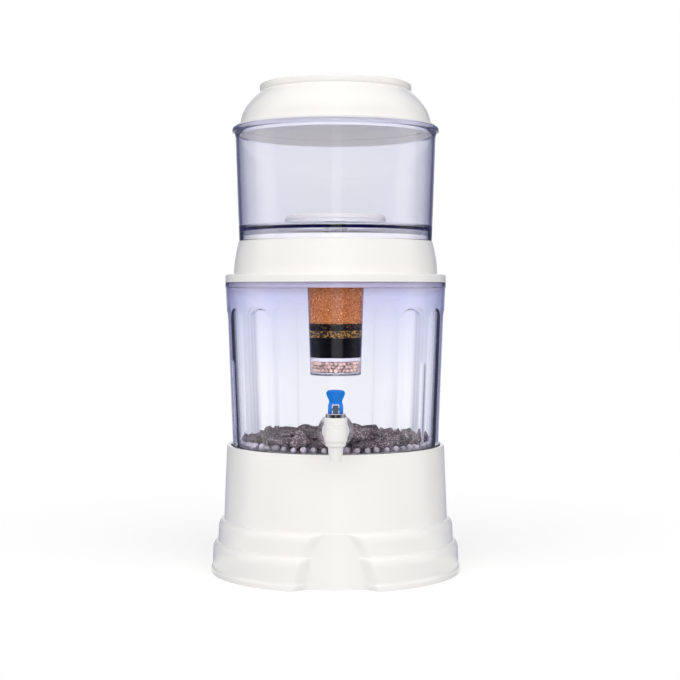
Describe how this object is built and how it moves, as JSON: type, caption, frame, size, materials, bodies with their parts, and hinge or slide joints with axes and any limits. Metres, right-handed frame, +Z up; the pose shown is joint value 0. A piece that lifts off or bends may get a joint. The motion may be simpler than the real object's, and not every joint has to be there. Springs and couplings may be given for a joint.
{
  "type": "gravity water filter",
  "caption": "Stacked gravity water filter: lidded upper tank with ceramic disc, hanging media cartridge, clear lower tank with mineral stones, push tap and stepped base.",
  "frame": {"origin": "centre of the base's foot, in the plane it stands on", "axes": "+Z up along the axis of the tanks, -Y towards the tap, +X to the right as seen from the tap"},
  "size_m": [0.2882, 0.3166, 0.56],
  "materials": {
    "white_shell": "glossy warm white ABS",
    "clear_tank": "clear plastic with a lilac-blue tint",
    "grey_stone": "rough speckled mineral",
    "pale_mineral": "matt fired mineral",
    "tap_white": "satin white",
    "clear_silicone": "translucent",
    "bright_metal": "polished",
    "grey_plastic": "matt grey",
    "black_rubber": "matt",
    "spring_steel": "drawn wire",
    "blue_plastic": "glossy blue",
    "grey_rubber": "matt",
    "cream_plastic": "satin cream",
    "white_ceramic": "unglazed microporous",
    "clear_housing": "clear plastic",
    "filter_felt": "white felt",
    "amber_resin": "orange-brown resin beads",
    "black_granule": "crushed black granules",
    "gold_granule": "gold and black granules",
    "dark_carbon": "activated carbon granules"
  },
  "bodies": {
    "base": {"base_shell": "white_shell"},
    "lower_tank_body": {"lower_tank": "clear_tank", "mineral_stones": "grey_stone", "mineral_balls": "pale_mineral", "tap_body": "tap_white", "tap_outer_washer": "clear_silicone", "tap_inner_washer": "clear_silicone", "tap_nut": "tap_white", "tap_cap": "tap_white", "cap_ring": "bright_metal", "valve_spring": "spring_steel"},
    "tap_stem": {"valve_stem": "grey_plastic", "valve_plunger": "black_rubber", "lever_pin": "spring_steel"},
    "lever": {"tap_lever": "blue_plastic"},
    "cover": {"mid_cover": "white_shell"},
    "upper_tank_body": {"upper_tank": "clear_tank", "prefilter_stem": "grey_plastic", "prefilter_washer": "grey_rubber", "prefilter_tray": "cream_plastic", "ceramic_disc": "white_ceramic", "floor_washer": "grey_rubber", "stem_nut": "tap_white"},
    "cartridge": {"cartridge_housing": "clear_housing", "cartridge_cap": "white_shell", "cap_seal": "grey_rubber", "top_pad": "filter_felt", "resin_media": "amber_resin", "black_granules": "black_granule", "speckled_media": "gold_granule", "carbon_media": "dark_carbon", "separator_pad": "filter_felt", "filter_balls": "pale_mineral", "outlet_pad": "filter_felt"},
    "lid_body": {"lid": "white_shell"}
  },
  "joints": [
    {"name": "lower_tank_lift", "type": "slide", "parent": "base", "child": "lower_tank_body", "axis": [0, 0, 1], "range_m": [0, 0.05]},
    {"name": "mid_cover_lift", "type": "slide", "parent": "lower_tank_body", "child": "cover", "axis": [0, 0, 1], "range_m": [0, 0.1]},
    {"name": "upper_tank_lift", "type": "slide", "parent": "cover", "child": "upper_tank_body", "axis": [0, 0, 1], "range_m": [0, 0.17]},
    {"name": "lid_lift", "type": "slide", "parent": "upper_tank_body", "child": "lid_body", "axis": [0, 0, 1], "range_m": [0, 0.1]},
    {"name": "cartridge_unscrew", "type": "slide", "parent": "upper_tank_body", "child": "cartridge", "axis": [0, 0, 1], "range_m": [-0.025, 0]},
    {"name": "valve_rise", "type": "slide", "parent": "lower_tank_body", "child": "tap_stem", "axis": [0, 0, 1], "range_m": [0, 0.0041], "deforming": ["valve_spring"]},
    {"name": "lever_press", "type": "hinge", "parent": "tap_stem", "child": "lever", "pos_m": [0, -0.16004, 0.198], "axis": [1, 0, 0], "range_deg": [0, 50], "stiffness_Nm_per_rad": 0.04, "springref_deg": -22.92}
  ],
  "couplings": [
    {"joint": "valve_rise", "follows": "lever_press", "m_per_rad": 0.0045837}
  ]
}
